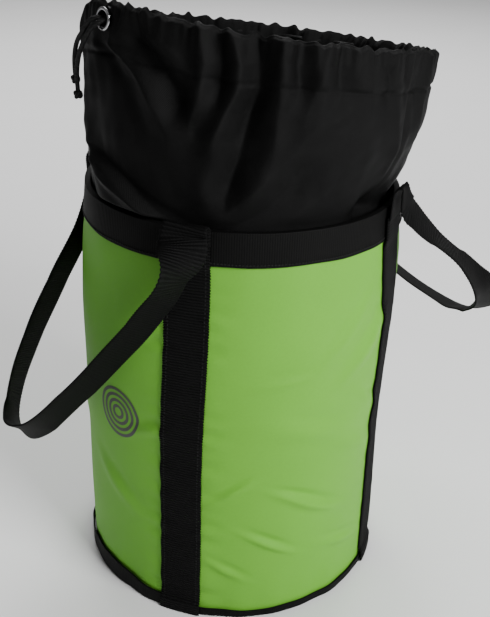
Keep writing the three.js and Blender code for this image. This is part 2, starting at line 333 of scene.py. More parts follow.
def webbing_material(name, colour, along_is_up=True, pitch=RIB, relief=0.9 * MM, contrast=1.2):
    """Ribbed webbing: a rib to each pitch along it, fine threads across, and each rib's top painted paler and
    its groove darker, as painted highlight and shade.
    """
    n = Nodes(name)
    across, along = n.flat()
    if not along_is_up:
        across, along = along, across
    rib = n.wave(along, pitch)
    thread = n.wave(across, 1.1 * MM)
    fuzz = n.noise(1300.0, 2.0, n.place())
    height = n.math("ADD", n.math("MULTIPLY", rib, 1.0), n.math("MULTIPLY", thread, 0.25))
    height = n.math("ADD", height, n.math("MULTIPLY", fuzz, 0.25))
    cloud = n.noise(25.0, 3.0, n.place())
    # The rib's crest is painted paler and its groove darker, as painted highlight and painted shade, over a
    # random cloudy tone.
    tone = n.math("ADD", n.math("MULTIPLY", rib, 0.75), n.math("MULTIPLY", cloud, 0.5))
    spread = 0.7 * contrast
    colour_out = n.mix(n.ramp(tone, 0.2, 1.1), dim(colour, 1 - spread), dim(colour, 1 + spread))
    normal = n.bump(height, relief, 0.9)
    rough = n.math("ADD", n.math("MULTIPLY", fuzz, 0.2), 0.55)
    return n.set(Base_Color=colour_out, Roughness=rough, Normal=normal, Specular_IOR_Level=0.09)


def braid_material(name, colour):
    """Braided cord: two sets of strands crossing at a slant."""
    n = Nodes(name)
    place = n.place()
    strands = n.add("ShaderNodeTexWave", {"bands_direction": "DIAGONAL"},
                    Vector=place, Scale=260.0, Distortion=3.0)
    fuzz = n.noise(1500.0, 2.0, place)
    height = n.math("ADD", strands.outputs["Fac"], n.math("MULTIPLY", fuzz, 0.4))
    # The colour follows the strands' relief: paler where they stand up and darker between them, as painted
    # highlight and painted shade.
    colour_out = n.mix(strands.outputs["Fac"], dim(colour, 0.5), dim(colour, 1.8))
    return n.set(Base_Color=colour_out, Roughness=0.6, Normal=n.bump(height, 0.4 * MM, 0.8),
                 Specular_IOR_Level=0.15)


def metal_material(name):
    """Bright plated metal with faint handling marks."""
    n = Nodes(name)
    marks = n.noise(300.0, 4.0, n.place())
    scratch = n.noise(1800.0, 2.0, n.place())
    rough = n.ramp(marks, 0.2, 2.6)
    return n.set(Base_Color=n.mix(marks, (0.30, 0.30, 0.31, 1), (0.55, 0.55, 0.56, 1)), Metallic=1.0,
                 Roughness=rough, Normal=n.bump(scratch, 0.05 * MM, 0.3))


def board_material(name, colour):
    n = Nodes(name)
    grain = n.noise(220.0, 4.0, n.place())
    return n.set(Base_Color=n.mix(grain, dim(colour, 0.7), dim(colour, 1.3)),
                 Roughness=n.math("ADD", n.math("MULTIPLY", grain, 0.2), 0.5),
                 Normal=n.bump(grain, 0.2 * MM, 0.4))


def ink_material(name, colour):
    n = Nodes(name)
    wear = n.noise(500.0, 5.0, n.place())
    worn = n.ramp(wear, 0.35, 0.75)
    return n.set(Base_Color=n.mix(worn, dim(colour, 0.8), dim(colour, 1.7)), Roughness=0.5)


GREEN = (0.135, 0.40, 0.034)
COLLAR_BLACK = (0.0036, 0.0036, 0.0036)
LINING_BLACK = (0.006, 0.006, 0.006)
THREAD_BLACK = (0.008, 0.008, 0.008)

green_cloth = cloth_material("green_cloth", GREEN, 1.0 * MM, 0.16 * MM, 0.55, 0.05, 0.16)
collar_cloth = cloth_material("collar_cloth", COLLAR_BLACK, 1.1 * MM, 0.34 * MM, 0.55, 0.45, 0.07)
lining_cloth = cloth_material("lining_cloth", LINING_BLACK, 1.0 * MM, 0.15 * MM, 0.7, 0.1, 0.1)
webbing = webbing_material("webbing", (0.0024, 0.0024, 0.0024))
rim_webbing = webbing_material("rim_webbing", (0.0026, 0.0026, 0.0025), False, 2.2 * MM, 0.16 * MM, 0.35)
cord_black = braid_material("cord_black", (0.0045, 0.0045, 0.0045))
plated = metal_material("plated")
board = board_material("board", (0.02, 0.02, 0.02))
ink = ink_material("ink", (0.012, 0.016, 0.01))
thread_black = cloth_material("thread_black", THREAD_BLACK, 0.4 * MM, 0.05 * MM, 0.6, 0.1, 0.15)

# ---------------------------------------------------------------- camera

AZIMUTH = math.radians(-27)
PITCH = math.radians(26.2)
ROLL = math.radians(2.13)
FOCAL = 52.6  # for a sensor of 36 mm on the picture's long side
CAMERA_ASIDE, CAMERA_BACK, CAMERA_UP = 0.007, 0.812, 0.662


def add_camera():
    right = Vector((math.cos(AZIMUTH), math.sin(AZIMUTH), 0))
    away = Vector((-math.sin(AZIMUTH), math.cos(AZIMUTH), 0))
    forward = away * math.cos(PITCH) - Vector((0, 0, math.sin(PITCH)))
    up = right.cross(forward)
    side = right * math.cos(ROLL) + up * math.sin(ROLL)
    top = up * math.cos(ROLL) - right * math.sin(ROLL)
    data = bpy.data.cameras.new("camera")
    data.lens = FOCAL
    data.sensor_width = 36
    camera = bpy.data.objects.new("camera", data)
    turn = Matrix((side, top, -forward)).transposed().to_4x4()
    camera.matrix_world = Matrix.Translation(right * CAMERA_ASIDE - away * CAMERA_BACK
                                             + Vector((0, 0, CAMERA_UP))) @ turn
    bpy.context.scene.collection.objects.link(camera)
    bpy.context.scene.camera = camera
    return right, away


VIEW_RIGHT, VIEW_AWAY = add_camera()

# ---------------------------------------------------------------- the collar's shape


def shape_collar(angle, radius, height):
    """Where a point of the upright sleeve ends up once the mouth is pulled to its shape."""
    rise = np.maximum(0, (height - TOP) / COLLAR_RISE)
    long = radius * np.cos(angle - MOUTH_TURN)
    short = radius * np.sin(angle - MOUTH_TURN)
    new_long = long * (1 + rise * (MOUTH_LONG / COLLAR_RADIUS - 1)) + MOUTH_SHIFT * rise
    new_short = short * (1 + rise * (MOUTH_SHORT / COLLAR_RADIUS - 1))
    drop = (MOUTH_DROP_LONG * long + MOUTH_DROP_SHORT * short) / COLLAR_RADIUS
    lift = EYELET_LIFT * bump(np.abs(turn_between(angle, EYELET_ANGLE)), 0, EYELET_LIFT_SPAN)
    x = math.cos(MOUTH_TURN) * new_long - math.sin(MOUTH_TURN) * new_short
    y = math.sin(MOUTH_TURN) * new_long + math.cos(MOUTH_TURN) * new_short
    return np.stack(np.broadcast_arrays(x, y, height + (lift - drop) * rise), -1)


# ---------------------------------------------------------------- drawcord


def tail_place(side, length, off, drop, around, lean):
    spread = CORD_DIAMETER / 2 + GAP
    apart = side * spread * (1 + drop / length)
    angle = EYELET_ANGLE + (apart * math.cos(lean) - around) / COLLAR_RADIUS
    return shape_collar(angle, COLLAR_RADIUS + off, EYELET_Z - drop - apart * math.sin(lean))


def tail_route(side, length):
    stops = [
        (-4 * MM, 0, 0, 0),
        (1 * MM, 0, 0, 0.1),
        (5.5 * MM, 1 * MM, 1 * MM, 0.5),
        (9 * MM, 4 * MM, 6 * MM, 0.9),
        (10.5 * MM, 11 * MM, 14 * MM, 0.8),
        (11 * MM, 0.45 * length, 26 * MM, 0.6),
        (10.5 * MM, 0.65 * length, 34 * MM, 0.4),
        (9.5 * MM, 0.83 * length, 39 * MM, 0.3),
        (8.5 * MM, length, TAIL_SIDEWAYS, 0.3),
    ]
    return [tail_place(side, length, *stop) for stop in stops]


def add_knot(name, centre, heading):
    """An overhand knot: a thick trefoil of the cord pulled down to a lump."""
    turns = np.linspace(0, 2 * math.pi, 97)[:-1]
    loop = np.stack([np.sin(turns) + 2 * np.sin(2 * turns), np.cos(turns) - 2 * np.cos(2 * turns),
                     -1.9 * np.sin(3 * turns)], -1)
    loop *= (KNOT_RADIUS - CORD_DIAMETER / 2) / 3
    down = Vector(unit(heading))
    tilt = np.array(down.to_track_quat("Z", "Y").to_matrix())
    path = loop @ tilt.T + centre
    along = unit(np.roll(path, -1, 0) - np.roll(path, 1, 0))
    out = unit(path - centre + 1e-6)
    side = unit(np.cross(along, out))
    out = np.cross(side, along)
    rim = np.linspace(0, 2 * math.pi, 13)[:-1]
    ring = np.cos(rim)[None, :, None] * out[:, None] + np.sin(rim)[None, :, None] * side[:, None]
    points = (path[:, None] + ring * CORD_DIAMETER * 0.46).reshape(-1, 3)
    return add_mesh(name, points, grid_faces(len(path), 12, True, True), cord_black, settled=False)


def add_tail(name, side, length):
    route = spline(tail_route(side, length), 8)
    data = bpy.data.curves.new("drawcord_" + name, "CURVE")
    data.dimensions = "3D"
    line = data.splines.new("POLY")
    line.points.add(len(route) - 1)
    for point, place in zip(line.points, route):
        point.co = (*place, 1)
    data.bevel_depth = CORD_DIAMETER / 2
    data.bevel_resolution = 5
    data.use_fill_caps = True
    data.materials.append(cord_black)
    cord = bpy.data.objects.new("drawcord_" + name, data)
    bpy.context.scene.collection.objects.link(cord)
    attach(cord, "bag")
    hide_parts("drawcord_tail_" + name)
    end = tail_place(side, length, 8.5 * MM, length + 0.6 * KNOT_RADIUS, TAIL_SIDEWAYS, 0.3)
    knot = add_knot("knot_" + name, end, route[-1] - route[-4])
    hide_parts("drawcord_knot_" + name)


add_tail("front", 1, 49 * MM)
add_tail("rear", -1, 42 * MM)

# ---------------------------------------------------------------- wall

SEAM_ANGLES = [STRAP_TURN + quarter * math.pi / 2 for quarter in range(4)]


def crease(angle, height, at_angle, at_height, heading, length, width, depth):
    """A soft straight fold in the wall, centred on one place; heading is its slope from level."""
    u = turn_between(angle, math.radians(at_angle)) * RADIUS
    v = height - at_height
    along = u * math.cos(heading) + v * math.sin(heading)
    across = -u * math.sin(heading) + v * math.cos(heading)
    return depth * bump(along, 0, length) * (bump(across, 0, width) - 0.6 * bump(across, 1.6 * width, width))


def wall_swell(angle, height):
    """How far the wall's cloth stands off its round, in metres; inwards is negative."""
    cut = SEAM_ANGLES[3]  # the noise starts and ends at this seam, and fades out beside it
    angle = cut + (angle - cut) % (2 * math.pi)
    calm = 1 - bump(turn_between(angle, cut) * RADIUS, 0, 26 * MM)
    share = (height - WALL_LOW[2]) / (WALL_HIGH[2] - WALL_LOW[2])
    between_seams = np.abs(np.sin(2 * (angle - STRAP_TURN)))
    free = smooth(share, 0, 0.08) * smooth(1 - share, 0, 0.12) * calm
    swell = 1.1 * MM * waves(angle * 2.2, height * 14, 3, 7, 0.5, 1.4) * free
    swell = swell + 0.35 * MM * waves(angle * 9, height * 55, 5, 8, 0.5, 1.3) * free
    swell = swell + 1.2 * MM * between_seams * free
    for seam in SEAM_ANGLES:
        off = np.abs(turn_between(angle, seam)) * RADIUS
        ripple = waves(height * 330, height * 120, 11 + int(seam * 10), 5, 0.5, 1.2)
        depth = 0.35 * MM if seam == SEAM_ANGLES[3] else 0.75 * MM
        swell = swell + depth * ripple * bump(off, 24 * MM, 12 * MM) * free
    foot = waves(angle * 26, angle * 9, 21, 5, 0.6, 1.3) * bump(share, 0.03, 0.07)
    head = waves(angle * 22, angle * 7, 22, 5, 0.6, 1.3) * bump(share, 0.93, 0.06)
    swell = swell + (0.6 * MM * foot + 0.5 * MM * head) * calm
    # The right side sags inwards between its strap and the middle of the front.
    sag = bump(turn_between(angle, math.radians(-38)), 0, 0.42) * bump(share, 0.42, 0.26)
    swell = swell - 4.0 * MM * sag
    # And the right panel stands out beside the top of that strap.
    beside = bump(turn_between(angle, math.radians(329)), 0, 0.13) * bump(height, 0.345, 0.05)
    swell = swell + 4.5 * MM * beside
    for fold in [
        (-86, 0.122, -0.45, 28, 5, 3.2),
        (-94, 0.136, -0.4, 22, 4, 2.2),
        (-103, 0.086, -0.5, 24, 4, 2.8),
        (-70, 0.06, -0.35, 28, 5, 2.4),
        (-62, 0.275, 0.6, 40, 9, 3.0),
        (-74, 0.30, 0.7, 34, 7, 1.6),
        (-100, 0.262, 0.1, 26, 5, 1.4),
        (-88, 0.205, -0.25, 34, 9, 1.8),
        (-64, 0.17, -0.5, 34, 9, 2.4),
        (-58, 0.21, -0.7, 26, 6, 1.8),
        (-116, 0.15, 0.6, 18, 4, 1.8),
        (-118, 0.055, -0.5, 18, 4, 1.8),
        (-150, 0.3, 0.7, 28, 7, 2.2),
        (-165, 0.12, -0.6, 32, 8, 2.4),
        (-148, 0.2, 0.5, 26, 6, 1.8),
        (-20, 0.22, 0.4, 30, 8, 1.8),
        (40, 0.25, -0.5, 32, 8, 1.8),
        (75, 0.14, 0.45, 32, 8, 1.8),
        (110, 0.27, -0.4, 30, 8, 1.5),
        (160, 0.16, 0.5, 30, 8, 1.6),
    ]:
        at_angle, at_height, heading, length, width, depth = fold
        swell = swell + crease(angle, height, at_angle, at_height, heading,
                               length * MM, width * MM, depth * MM)
    return swell


def add_wall(name, start):
    columns, rows = 190, 300
    slit = GAP / RADIUS
    angle = np.linspace(start + slit, start + math.pi / 2 - slit, columns)[None, :]
    height = np.linspace(WALL_LOW[2], WALL_HIGH[2], rows)[:, None]
    angle, height = np.broadcast_arrays(angle, height)
    radius = RADIUS + wall_swell(angle, height)
    points = np.stack([radius * np.cos(angle), radius * np.sin(angle), height], -1).reshape(-1, 3)
    uv = np.stack([angle * RADIUS, height], -1).reshape(-1, 2)
    piece = add_mesh(name + "_cloth", points, grid_faces(rows, columns), green_cloth, uv=uv)
    thicken(piece, CLOTH)
    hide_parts(name)


for wall, first in zip(["wall_rear", "wall_left", "wall_front", "wall_right"], SEAM_ANGLES):
    add_wall(wall, first)

# ---------------------------------------------------------------- bindings


def tape_ring(name, section, columns, wobble, node):
    """A ring of tape from a closed section of (radius, height), every point moved by wobble."""
    section = np.asarray(section)
    ring = np.linspace(0, 2 * math.pi, columns, endpoint=False)[:, None]
    radius, height = wobble(ring, section[None, :, 0], section[None, :, 1])
    points = np.stack(np.broadcast_arrays(radius * np.cos(ring), radius * np.sin(ring), height), -1)
    steps = np.linalg.norm(np.diff(section, axis=0), axis=1)
    around = np.concatenate([[0], np.cumsum(steps)])
    uv = np.stack(np.broadcast_arrays(ring * RADIUS, around[None, :]), -1)
    faces = grid_faces(columns, len(section), True, True)
    piece = add_mesh(name, points.reshape(-1, 3), faces, rim_webbing, uv=uv.reshape(-1, 2))
    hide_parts(node)


def rounded(corners, radius, arc=4):
    """A closed outline with its corners rounded."""
    corners = np.asarray(corners, float)
    out = []
    for before, here, after in zip(np.roll(corners, 1, 0), corners, np.roll(corners, -1, 0)):
        inward, onward = unit(before - here), unit(after - here)
        for t in np.linspace(0, 1, arc):
            start, end = here + inward * radius, here + onward * radius
            out.append((1 - t) ** 2 * start + 2 * t * (1 - t) * here + t ** 2 * end)
    return np.array(out)


def add_rim():
    outer, inner = RIM_RADIUS, RADIUS - 2 * CLOTH - GAP
    section = rounded([
        (outer, RIM_FOOT), (outer, TOP), (inner, TOP), (inner, RIM_FOOT),
        (inner + CLOTH, RIM_FOOT), (inner + CLOTH, TOP - CLOTH), (outer - CLOTH, TOP - CLOTH),
        (outer - CLOTH, RIM_FOOT)], RIM_ROUND)

    def wobble(ring, radius, height):
        loose = smooth(height, RIM_FOOT + 2 * MM, TOP)
        ripple = 0.7 * MM * waves(ring * 5, ring * 11, 31, 5, 0.5, 1.4)
        lean = 1.2 * MM * waves(ring * 2, ring * 3, 32, 4, 0.5, 1.2)
        under = wall_swell(ring, np.full_like(ring, RIM_FOOT))
        return radius + ripple * loose + lean * loose * 0.4 + under * (1 - loose), height + 0.8 * ripple

    tape_ring("rim_tape", section, 720, wobble, "rim_binding")


def add_base_binding():
    outer = RADIUS + GAP + CLOTH
    low, high = BINDING_LOW[2], BINDING_HIGH[2]
    section = rounded([(outer, low), (outer, high), (outer - CLOTH, high), (outer - CLOTH, low)],
                      BASE_TAPE_ROUND)

    def wobble(ring, radius, height):
        # The binding is turned up higher where the bag's left side rests on its edge.
        corner = bump(turn_between(ring, math.radians(190)), 0, 0.5)
        under = wall_swell(ring, np.full_like(ring, high))
        ripple = 0.5 * MM * waves(ring * 8, ring * 17, 41, 5, 0.5, 1.3)
        share = (height - low) / (high - low)
        return radius + under + 0.7 * MM + corner * 1.5 * MM, height + share * (ripple + corner * 14 * MM)

    tape_ring("base_tape", section, 480, wobble, "base_binding")


add_rim()
add_base_binding()


def add_disc(name, node, material):
    """A round of the base: a closed disc with a softened edge, with cloth coordinates."""
    low, high = node_box(node)
    radius = (high[0] - low[0]) / 2
    soft = min(0.4 * MM, (high[2] - low[2]) / 3)
    section = [(radius * t, high[2]) for t in (0.001, 0.35, 0.7, 0.95)]
    section += [(radius - soft, high[2]), (radius, high[2] - soft)]
    section += [(radius, low[2] + soft), (radius - soft, low[2])]
    section += [(radius * t, low[2]) for t in (0.95, 0.7, 0.35, 0.001)]
    section = np.array(section)
    columns = 160
    ring = np.linspace(0, 2 * math.pi, columns, endpoint=False)[:, None]
    x, y = section[None, :, 0] * np.cos(ring), section[None, :, 0] * np.sin(ring)
    height = section[None, :, 1] + 0 * ring
    points = np.stack([x, y, height], -1).reshape(-1, 3)
    faces = [list(f) for f in grid_faces(columns, len(section), True, False)]
    count = len(section)
    faces.append([i * count for i in range(columns)])
    faces.append([i * count + count - 1 for i in range(columns)][::-1])
    piece = add_mesh(name, points, faces, material, uv=points[:, :2], settled=False)
    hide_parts(node)


add_disc("base_cloth", "base_panel", lining_cloth)
add_disc("base_lining_cloth", "base_lining", lining_cloth)
add_disc("base_stiff_board", "base_board", board)

# ---------------------------------------------------------------- webbing


def scalloped(far):
    """How far the webbing's edge and its face stand out at each place along it, rib by rib."""
    rise = np.sin(2 * math.pi * far / RIB)
    return 0.42 * MM * rise, 0.14 * MM * rise


def add_webbing(name, points, across, far, body):
    """One closed webbing mesh from rows of outline points, with a cap at each end."""
    rows, count = len(points), len(OUTLINE)
    uv = np.stack(np.broadcast_arrays(across, far), -1).reshape(-1, 2)
    faces = [list(f) for f in grid_faces(rows, count, False, True)]
    faces.append(list(range(count))[::-1])
    faces.append([(rows - 1) * count + i for i in range(count)])
    return add_mesh(name, points.reshape(-1, 3), faces, webbing, body=body, uv=uv)


def tape_along(name, middle, across, width, step=RIB / 6):
    """A webbing tape along a line of points. across is the way its width points at each."""
    far, middle, across, width = even(middle, step, across, width[:, None])
    along = unit(np.gradient(middle, axis=0))
    across = unit(across - (across * along).sum(1, keepdims=True) * along)
    out = np.cross(along, across)
    scallop, rib = scalloped(far)
    half = (width[:, 0] / 2 + scallop)[:, None, None] * OUTLINE[None, :, :1]
    thick = (WEBBING_THICK / 2 + rib)[:, None, None] * OUTLINE[None, :, 1:]
    points = middle[:, None] + half * across[:, None] + thick * out[:, None]
    return add_webbing(name, points, half[..., 0], far[:, None], None)


def radial(side_x, side_y, r, z):
    return np.array([side_x * r * math.cos(STRAP_TURN), side_y * r * math.sin(STRAP_TURN), z])


UPPER_SIDE = [(-0.97, 0.75), (-0.85, 1), (-0.5, 0.97), (0, 0.95), (0.5, 0.97), (0.85, 1), (0.97, 0.75)]
# The webbing's cross-section, in half widths and half thicknesses.
OUTLINE = np.array([(-1, 0)] + UPPER_SIDE + [(1, 0)] + [(-x, -y) for x, y in UPPER_SIDE])


def strap_seat(angle, height):
    """The radius that a strap's inner face lies at: over the wall, the base's tape and the rim's tape."""
    wall = wall_swell(angle, height)
    over_rim = smooth(height, RIM_FOOT - 9 * MM, RIM_FOOT + 1 * MM)
    over_base = 1 - smooth(height, 9 * MM, 17 * MM)
    lifted = wall + over_base * (GAP + CLOTH + 1.2 * MM)
    return RADIUS + 0.5 * MM + lifted * (1 - over_rim) + over_rim * (RIM_RADIUS - RADIUS + 0.7 * MM)


def strap_sway(angle, height):
    """The strap's small wander to the side, as it was sewn."""
    return 1.0 * MM * waves(height * 30, height * 11, 50 + int(10 * angle), 4, 0.5, 1.2)


def add_strap(name, side_x, side_y):
    angle = math.atan2(side_y, side_x)
    height = np.arange(GAP + 0.4 * MM, STRAP_TOP, RIB / 6)[:, None]
    scallop, rib = scalloped(height)
    aside = (WEBBING_WIDTH / 2 + scallop) * OUTLINE[None, :, 0]
    turned = angle + (aside + strap_sway(angle, height)) / RADIUS
    proud = WEBBING_THICK / 2 * (1 + OUTLINE[None, :, 1]) + rib * OUTLINE[None, :, 1]
    radius = strap_seat(turned, height + 0 * turned) + proud
    points = np.stack(np.broadcast_arrays(radius * np.cos(turned), radius * np.sin(turned), height), -1)
    piece = add_webbing("webbing_" + name, points, aside, height, "bag")
    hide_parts(name)


for strap, (strap_x, strap_y) in STRAP_SIDES.items():
    add_strap("strap_" + strap, strap_x, strap_y)


def rim_fold(side_x, side_y, rise):
    """The webbing's way up over the rim, from the top of a strap to just outside the hinge."""
    at = RIM_RADIUS + WEBBING_THICK / 2 + 1.2 * MM
    return [
        radial(side_x, side_y, at + 0.3 * MM, STRAP_TOP - 2 * MM),
        radial(side_x, side_y, at + 0.4 * MM, TOP - 1 * MM),
        radial(side_x, side_y, at + 0.8 * MM, TOP + rise),
        radial(side_x, side_y, at + 5.0 * MM, TOP + rise + 3 * MM),
    ]


def add_handle(name, side, hang, across, outline, front_rise, rear_rise, turn_length, front_way, pinch):
    down = np.array([side * math.cos(hang), 0, -math.sin(hang)])
    hinge = np.array([side * HINGE_X, 0, HINGE_Z])
    loop = [hinge + reach * MM * down + np.array([0, y * MM, 0]) for reach, y in outline]
    front = rim_fold(side, -1, front_rise)
    rear = rim_fold(side, 1, rear_rise)
    middle = spline(np.array(front + loop + rear[::-1]))
    far = np.concatenate([[0], np.cumsum(np.linalg.norm(np.diff(middle, axis=0), axis=1))])
    along = unit(np.gradient(middle, axis=0))
    leaning = np.broadcast_to(across, middle.shape)
    leaning = unit(leaning - (leaning * along).sum(1, keepdims=True) * along)
    fold_length = 24 * MM

    def from_rim(distance, side_y, way):
        tangent = way * unit(np.array([-side_y, side, 0.0]))
        share = smooth(distance, fold_length * 0.8, fold_length + turn_length)[:, None]
        return (1 - share) * tangent, share

    front_part, front_share = from_rim(far, -1, front_way)
    rear_part, rear_share = from_rim(far[-1] - far, 1, -1)
    share = np.minimum(front_share, rear_share)
    ways = np.where((far < far[-1] / 2)[:, None], front_part, rear_part) + share * leaning
    width = WEBBING_WIDTH * (1 - pinch * bump(far, 34 * MM, 16 * MM))
    piece = tape_along("webbing_" + name, middle, ways, width)
    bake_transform(piece)
    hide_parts(name)


add_handle("handle_left", -1, LEFT_HANG, (0.4, 0.6, -0.7), [
    (6, -116), (14, -125), (35, -136), (75, -124), (120, -102), (174, -71), (232, -28), (254, 8), (251, 36),
    (226, 54), (176, 62), (119, 60), (68, 62), (36, 82), (12, 108),
], 3 * MM, -3 * MM, 55 * MM, 1, 0)
add_handle("handle_right", 1, RIGHT_HANG, (0.85, 0.48, -0.36), [
    (8, -113), (20, -113), (45, -119), (75, -138), (113, -139), (150, -118), (180, -85), (204, -44), (213, 0),
    (211, 50), (193, 93), (150, 122), (95, 131), (45, 124), (12, 114),
], 12 * MM, 3 * MM, 30 * MM, 1, 0.5)

# ---------------------------------------------------------------- collar

# Each fold of the collar: its line as (angle in degrees, height in mm), half width in degrees and
# depth in mm. A negative depth is a valley.
FOLDS = [
    ([(194, 532), (202, 520), (208, 508), (214, 486), (218, 468)], 4.2, 6.0),
    ([(204, 540), (210, 530), (215, 515), (219, 498)], 3.6, -5.0),
    ([(226, 550), (228, 527), (227, 502), (224, 480)], 3.2, 5.5),
    ([(231, 548), (232, 530), (232, 508)], 2.4, -5.5),
    ([(235, 550), (238, 529), (238, 511), (235, 493), (232, 470)], 3.4, 6.5),
    ([(241, 548), (243, 528), (244, 512), (242, 493), (240, 456), (236, 425)], 4.0, -7.5),
    ([(249, 540), (249, 519), (250, 500), (250, 470)], 3.6, 4.0),
    ([(254, 548), (254, 530), (256, 512)], 2.4, -4.5),
    ([(262, 545), (261, 520), (258, 490)], 3.4, 3.2),
    ([(268, 546), (267, 528), (269, 508)], 2.6, -4.5),
    ([(276, 544), (277, 520), (280, 495)], 4.0, 3.2),
    ([(284, 544), (284, 526), (287, 508)], 2.6, -4.0),
    ([(286, 530), (289, 504), (293, 482), (296, 455)], 3.6, 3.5),
    ([(302, 535), (301, 500), (300, 460), (299, 425)], 1.6, -2.0),
    ([(312, 530), (314, 500), (310, 460)], 5.0, 4.0),
    ([(335, 525), (332, 490), (334, 450)], 6.0, 4.0),
    ([(2, 520), (6, 480), (10, 440)], 6.0, 4.5),
    ([(28, 515), (24, 475), (20, 440)], 6.0, 4.5),
    ([(44, 515), (46, 480)], 4.0, -5.0),
    ([(58, 520), (62, 480), (60, 440)], 6.0, 4.5),
    ([(88, 520), (82, 480), (78, 440)], 6.0, 4.5),
    ([(103, 525), (101, 490)], 4.0, -5.0),
    ([(118, 525), (124, 485), (122, 440)], 6.0, 4.5),
    ([(146, 535), (140, 495), (136, 450)], 5.0, 4.0),
    ([(168, 540), (172, 500), (174, 450)], 4.5, 3.0),
    ([(178, 445), (192, 424), (204, 412), (216, 398)], 4.5, 3.5),
    ([(232, 404), (244, 430), (256, 462), (262, 486)], 5.5, 3.5),
    ([(262, 410), (272, 440), (280, 470)], 6.5, 2.5),
]


def collar_height(angle, share):
    """The real height, in mm, of a place on the collar."""
    return shape_collar(angle, COLLAR_RADIUS, TOP + share * COLLAR_RISE)[..., 2] / MM


def collar_folds(angle, share):
    height = collar_height(angle, share)
    total = np.zeros_like(height)
    for line, width, depth in FOLDS:
        line = sorted(line, key=lambda stop: stop[1])
        turns = np.array([stop[0] for stop in line], float)
        levels = np.array([stop[1] for stop in line], float)
        at = np.radians(np.interp(height, levels, turns))
        off = turn_between(angle, at) / math.radians(width)
        fade = smooth(height, levels[0] - 22, levels[0] + 12)
        fade = fade * (1 - smooth(height, levels[-1] - 4, levels[-1] + 22))
        crest = np.exp(-np.abs(off) ** 1.5) - 0.35 * bump(np.abs(off), 2.1, 0.9)
        total = total + depth * MM * crest * fade
    return total


def collar_swell(angle, share):
    """How far the collar's cloth stands off its sleeve. share is 0 at the rim and 1 at the mouth."""
    gathers = waves(angle * 46, angle * 23, 61, 6, 0.55, 1.25)
    fine = waves(angle * 110, angle * 70, 62, 5, 0.6, 1.2)
    broad = waves(angle * 22, share * 4, 67, 6, 0.5, 1.3)
    swell = collar_folds(angle, share)
    swell = swell + (1.1 * gathers + 0.5 * fine) * MM * smooth(share, 0.82, 1.0)
    swell = swell + 1.2 * broad * MM * smooth(share, 0.55, 0.8)
    swell = swell + 1.5 * MM * waves(angle * 7, share * 5, 63, 7, 0.5, 1.4) * smooth(share, 0.03, 0.3)
    swell = swell + 0.7 * MM * waves(angle * 24, share * 14, 64, 8, 0.5, 1.3) * smooth(share, 0.03, 0.2)
    swell = swell + 0.25 * MM * waves(angle * 60, share * 40, 68, 9, 0.5, 1.3) * smooth(share, 0.03, 0.2)
    return swell


def collar_profile(angle, share):
    """The slow shape up the sleeve: tucked in at the rim, full above it."""
    right = bump(turn_between(angle, math.radians(-27)), 0, 0.9)
    left = bump(turn_between(angle, math.radians(178)), 0, 0.7)
    tuck = -5 * MM * right * bump(share, 0.0, 0.11) - 1.5 * MM * bump(share, 0.0, 0.08)
    pocket = -13 * MM * bump(turn_between(angle, math.radians(-63)), 0, 0.13) * bump(share, 0.03, 0.13)
    full = 4.5 * MM * right * bump(share, 0.42, 0.3) + 1.5 * MM * left * bump(share, 0.3, 0.3)
    # A flap of slack cloth folds down over the rim at the front left.
    edge = 0.24 - 0.24 * smooth(turn_between(angle, math.radians(186)), 0, math.radians(34))
    slack = smooth(edge - share, -0.02, 0.035) * smooth(turn_between(angle, math.radians(174)), 0, 0.3)
    slack = slack * smooth(-turn_between(angle, math.radians(222)), 0, 0.1)
    return tuck + pocket + full + 9 * MM * slack * smooth(share, 0.0, 0.035)


